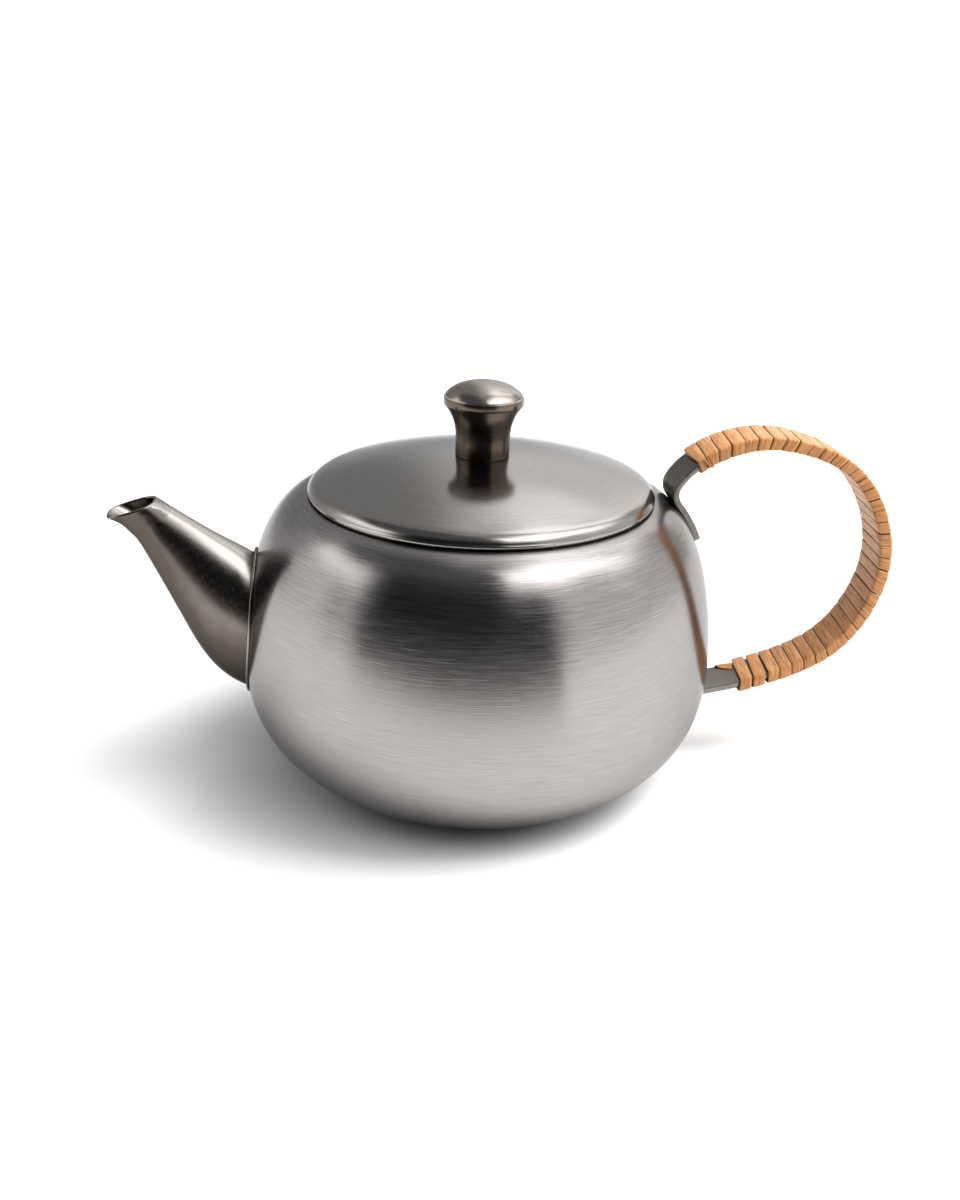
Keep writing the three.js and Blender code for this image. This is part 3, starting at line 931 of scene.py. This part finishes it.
def cane_strip():
    """The strip wound round the strap. across and crown are its section, with the underside last."""
    rng = random.Random(11)
    marks = turn_stations()
    body = CANE_END - CANE_START - sum(LOOSE_GAPS) - 0.5
    pitch = body / CANE_TURNS
    wob = [rng.uniform(-1, 1) for _ in range(CANE_TURNS * 4 + 8)]
    lift = [rng.uniform(0, 1) for _ in range(CANE_TURNS * 4 + 8)]
    across = np.array([-1.0, -0.97, -0.8, -0.45, 0.0, 0.45, 0.8, 0.97, 1.0, 0.6, -0.6])
    crown = np.array([0.24, 0.42, 0.53, 0.57, 0.58, 0.57, 0.53, 0.42, 0.24, 0.0, 0.0])
    middle = 4  # the section's point on the crown's top
    tilt_of = [rng.uniform(-1, 1) for _ in range(CANE_TURNS + 2)]
    rows, lengths, run, last = [], [], 0.0, None
    for turn in range(-1, CANE_TURNS):
        for f in marks:
            g = turn + f
            if g < -0.22 or g > CANE_TURNS - 0.62:
                continue
            y, h, ny, nh, adv = cane_track(f)
            q = (g + 1) * 4
            i, w = int(q), q - int(q)
            w = w * w * (3 - 2 * w)
            wobble = wob[i] * (1 - w) + wob[i + 1] * w
            rise = lift[i] * (1 - w) + lift[i + 1] * w
            to_end = CANE_TURNS - 1.35 - turn - adv
            loose = sum(gap * max(0.0, min(1.0, (k - to_end) * 3)) for k, gap in enumerate(LOOSE_GAPS))
            advance = pitch * (turn + adv - 0.5) * (CANE_TURNS / (CANE_TURNS - 0.4)) * 0.992
            centre = CANE_START + pitch * 0.5 + advance + loose + wobble * 0.11
            half = pitch * 0.5 * (0.985 + 0.015 * wobble)
            tilt = 0.06 * tilt_of[turn]
            raised = 0.12 if turn >= CANE_TURNS - 2 else 0.0  # the last turns lie a little looser
            out = crown * (0.92 + 0.22 * rise) + across * tilt + raised
            out = np.where(crown > 0, np.maximum(out, 0.05), 0.0)
            cut = 1.5 * max(0.0, min(1.0, (0.36 - g) / 0.3))  # the strip starts as a slanting cut
            p = on_strap(centre + across * half + cut * (1 - across) / 2, y + ny * out, h + nh * out)
            rows.append(p)
            mid = p[middle]
            if last is not None:
                run += float(np.linalg.norm(mid - last))
            last = mid
            lengths.append(run * MM)
    lengths.append(run * MM)
    share = np.r_[(across + 1) / 2, 0.0]
    verts, faces, uvs = grid(rows, lambda i, j: (share[j], lengths[i]), cap_first=True, cap_last=True)
    ob = make_mesh("cane_wrap_fine", verts, faces, uvs, "pot", CANE, sharp=60)
    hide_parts("cane_wrap")


def ribbon(path, widths, thick, side):
    """Rings of a thin strip along path: side is its width's direction at each point, thick its thickness."""
    path, side = np.asarray(path, float), np.asarray(side, float)
    d = np.gradient(path, axis=0)
    d /= np.linalg.norm(d, axis=1)[:, None]
    side = side - d * (side * d).sum(1)[:, None]
    side /= np.linalg.norm(side, axis=1)[:, None]
    up = np.cross(d, side)
    rows = []
    for k in range(len(path)):
        w = widths[k] / 2
        ring = []
        for x, z in ((-1, 0.25), (-0.7, 0.75), (0, 1), (0.7, 0.75), (1, 0.25), (0.6, -0.3), (-0.6, -0.3)):
            ring.append(path[k] + side[k] * x * w + up[k] * z * thick)
        rows.append(ring)
    return rows


def join_strips(name, strips):
    """One cane piece of several thin strips."""
    verts, faces, uvs = [], [], []
    for rows in strips:
        at = len(verts)
        m = len(rows[0])
        v, f, uv = grid(rows, lambda i, j: ((j % m) / m, i * 0.0012), cap_first=True, cap_last=True)
        verts += [tuple(p) for p in v]
        faces += [tuple(k + at for k in face) for face in f]
        uvs += uv
    return make_mesh(name, verts, faces, uvs, "pot", CANE, sharp=60)


def cane_tail():
    """The strip's cut end, which slips out from under the last turn at the far edge of the strap."""
    count = 12
    s = np.linspace(CANE_END - 3.0, CANE_END + 2.3, count)
    y = np.linspace(4.2, 6.5, count)
    h = -STRAP_T / 2 - 0.12 - np.linspace(0.15, 0.35, count)
    path = on_strap(s, y, h)
    side = on_strap(s, y + 1.0, h) - path
    widths = np.interp(np.arange(count), [0, 6, count - 1], [4.2, 3.2, 0.5])
    ob = join_strips("cane_tail_fine", [ribbon(path, widths, 0.45, side)])
    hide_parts("cane_tail")


def loose_fibres():
    """Fibres splayed from the first turn's corner, and a hair or two along the loop."""
    rng = random.Random(5)
    strips = []
    for k in range(9):
        s0 = CANE_START + 1.7 + 0.36 * k + rng.uniform(-0.2, 0.2)
        n = 9
        t = np.linspace(0, 1, n)
        lean = 0.9 - 0.22 * k + rng.uniform(-0.2, 0.2)
        s = s0 + lean * t
        y = -STRAP_W / 2 - 0.88 - 0.25 * np.sin(t * math.pi * 0.8) - 0.1 * k % 0.25
        h = 1.5 - 3.3 * t + rng.uniform(-0.3, 0.3)
        path = on_strap(s, y, h)
        side = on_strap(s + 1.0, y, h) - path
        widths = np.interp(t, [0, 0.3, 1], [0.34, 0.50, 0.16])
        strips.append(ribbon(path, widths, 0.16, side))
    for s0, y0, h0, ds, dy, dh in ((88.0, -2.5, 1.5, 3.2, -0.6, 1.1), (89.0, 1.5, 1.5, 2.2, 0.8, 0.8)):
        t = np.linspace(0, 1, 8)
        path = on_strap(s0 + ds * t, y0 + dy * t, h0 + dh * t * t)
        side = on_strap(s0 + ds * t, y0 + dy * t + 1, h0 + dh * t * t) - path
        strips.append(ribbon(path, np.interp(t, [0, 1], [0.22, 0.06]), 0.06, side))
    join_strips("cane_loose_fibres", strips)


body_shell()
spout_tube()
root_collar()
lid_dome()
locating_ring()
knob()
knob_fixings()
strap()
foot_fillet()
cane_strip()
cane_tail()
loose_fibres()

# ---------------------------------------------------------------- stage, light and camera

CAMERA_TURN = 7.45  # degrees round from straight in front of the pot, towards the spout
CAMERA_PITCH = 22.43  # degrees that it looks down
CAMERA_ROLL = 1.74
CAMERA_AIM = Vector((0, 0, 0.05154))  # the place that it looks at, metres
CAMERA_SHIFT = 0.00061  # the camera's own step to its right, metres
CAMERA_DISTANCE = 0.39938
CAMERA_LENS = 39.5961  # mm, on a 36 mm sensor
LIGHT_AIM = Vector((0, 0, 0.045))


def camera():
    turn, pitch, roll = (math.radians(a) for a in (CAMERA_TURN, CAMERA_PITCH, CAMERA_ROLL))
    level = Vector((math.cos(turn), -math.sin(turn), 0))
    ahead = Vector((math.sin(turn), math.cos(turn), 0))
    look = ahead * math.cos(pitch) - Vector((0, 0, math.sin(pitch)))
    up = level.cross(look)
    right = level * math.cos(roll) + up * math.sin(roll)
    top = up * math.cos(roll) - level * math.sin(roll)
    data = bpy.data.cameras.new("camera")
    data.sensor_width = 36
    data.lens = CAMERA_LENS
    data.clip_start, data.clip_end = 0.01, 50
    ob = bpy.data.objects.new("camera", data)
    placed = Matrix((right, top, -look)).transposed().to_4x4()
    placed.translation = CAMERA_AIM + level * CAMERA_SHIFT - look * CAMERA_DISTANCE
    ob.matrix_world = placed
    bpy.context.scene.collection.objects.link(ob)
    bpy.context.scene.camera = ob


def direction(azimuth, elevation):
    """A unit vector: azimuth 0 is towards the viewer and 90 towards the handle."""
    a, e = math.radians(azimuth), math.radians(elevation)
    return Vector((math.sin(a) * math.cos(e), -math.cos(a) * math.cos(e), math.sin(e)))


def softbox(name, azimuth, elevation, distance, size, power, color):
    """A rectangular light aimed at the pot. It lights pieces and floor, and no metal reflects it."""
    data = bpy.data.lights.new(name, "AREA")
    data.shape = "RECTANGLE"
    data.size, data.size_y = size
    data.energy = power
    data.color = color
    ob = bpy.data.objects.new(name, data)
    out = direction(azimuth, elevation)
    ob.location = LIGHT_AIM + out * distance
    ob.rotation_mode = "QUATERNION"
    ob.rotation_quaternion = (-out).to_track_quat("-Z", "Y")
    ob.visible_glossy = False
    bpy.context.scene.collection.objects.link(ob)


def stage_piece(name, verts, faces, material):
    """A flat piece of the stage, from points in metres."""
    me = bpy.data.meshes.new(name)
    me.from_pydata(verts, [], faces)
    me.materials.append(material)
    ob = bpy.data.objects.new(name, me)
    bpy.context.scene.collection.objects.link(ob)
    return ob


def floor():
    """A round sheet of pale paper under the pot."""
    color, faint = (0.72, 0.72, 0.72), 0.985
    n = Surface("floor_paper")
    soft = n.noise(n.place(), 3.0, 2.0, 0.5)
    mottle = n.span(soft, NOISE_LOW, NOISE_HIGH, 0, 1)
    n.set("Base Color", n.mix(mottle, color, tuple(c * faint for c in color)))
    n.set("Roughness", 0.9)
    radius, sides, z = 1.25, 96, -0.0002
    turns = [2 * math.pi * k / sides for k in range(sides)]
    ring = [(radius * math.cos(a), radius * math.sin(a), z) for a in turns]
    ob = stage_piece("floor", ring, [tuple(range(sides))], n.material)


def dark_cloth():
    """A dark cloth over the front of the table, out of the picture. Only reflections see it."""
    z, near, solid, far = 0.0004, -0.17, -0.40, -1.2
    n = Surface("dark_cloth")
    n.set("Base Color", (0.015, 0.013, 0.012, 1))
    n.set("Roughness", 1.0)
    n.set("Alpha", n.soft_step(n.parts(n.place())[1], near, solid))
    corners = [(-0.40, near, z), (0.10, near, z), (0.70, far, z), (-2.1, far, z)]
    ob = stage_piece("dark_cloth", corners, [(0, 3, 2, 1)], n.material)
    ob.visible_camera = False
    ob.visible_diffuse = False
    ob.visible_shadow = False


def world():
    """The studio round the pot, as soft-edged panels of light seen from it.

    Each row is a panel: its middle azimuth, half width, the softness of its sides, lowest and highest elevation,
    the softness of those, and its brightness. Later panels are laid over earlier ones.
    """
    panels = (
        (90, 90, 20, -90, 40, 10, 0.97),
        (-100, 24, 8, -90, 26, 6, 1.05),
        (-78, 9, 7, -12, 40, 8, 0.66),
        (180, 62, 12, -20, 90, 5, 0.64),
        (-160, 26, 14, 8, 72, 8, 0.40),
        (161, 15, 8, 10, 66, 8, 1.35),
        (180, 62, 12, -90, -7, 6, 1.30),
        (150, 16, 10, -10, 10, 8, 1.45),
        (-98, 23, 8, 27, 43, 4, 2.10),
        (-70, 76, 10, 47, 82, 4, 0.14),
        (98, 18, 12, 36, 78, 8, 2.9),
        (58, 41, 6, 48, 75, 9, 4.3),
        (145, 18, 7, 36, 68, 6, 3.0),
        (24, 10, 8, 28, 55, 6, 0.8),
        (146, 8, 5, 12, 50, 6, 1.7),
        (160, 10, 6, 36, 50, 5, 2.0),
        (172, 10, 8, 50, 68, 6, 0.95),
        (-16, 50, 9, -6, 43, 8, 0.006),
        (-27, 39, 5, 38, 60, 6, 0.03),
        (-33, 42, 7, 56, 82, 6, 0.16),
    )
    room, backdrop = 0.30, 1.2  # brightness between the panels, and of what the camera sees behind the pot
    studio = bpy.data.worlds.new("studio")
    studio.use_nodes = True
    bpy.context.scene.world = studio
    n = Nodes(studio.node_tree)
    degrees = 180 / math.pi
    x, y, z = n.parts(n.place("Generated"))
    east = n.math("MULTIPLY", n.math("ARCTAN2", x, n.math("MULTIPLY", y, -1)), degrees)
    rise = n.math("MULTIPLY", n.math("ARCSINE", z), degrees)
    level = room
    for azimuth, half, side_soft, low, high, end_soft, brightness in panels:
        apart = n.math("ABSOLUTE", n.math("WRAP", n.math("SUBTRACT", east, azimuth), 180, -180))
        across = n.soft_step(apart, half + side_soft, half - side_soft)
        up = n.soft_step(rise, low - end_soft, low + end_soft)
        down = n.soft_step(rise, high + end_soft, high - end_soft)
        share = n.math("MULTIPLY", across, n.math("MULTIPLY", up, down))
        level = n.math("ADD", level, n.math("MULTIPLY", share, n.math("SUBTRACT", brightness, level)))
    seen = n.add("LightPath").outputs["Is Camera Ray"]
    unseen = n.math("SUBTRACT", 1.0, seen)
    level = n.math("ADD", n.math("MULTIPLY", level, unseen), n.math("MULTIPLY", seen, backdrop))
    n.link(n.combine(level, level, level), n.tree.nodes["Background"].inputs["Color"])


camera()
floor()
dark_cloth()
world()
softbox("key", 88, 58, 4.0, (2.5, 2.5), 214, (1.0, 0.99, 0.97))
softbox("side", 84, 27, 4.0, (2.0, 1.6), 62, (1.0, 0.99, 0.97))
softbox("fill", -5, 62, 3.0, (2.2, 1.4), 20, (0.98, 0.99, 1.0))

scene = bpy.context.scene
scene.view_settings.view_transform = "Standard"
scene.view_settings.look = "None"
scene.view_settings.exposure = 0.0
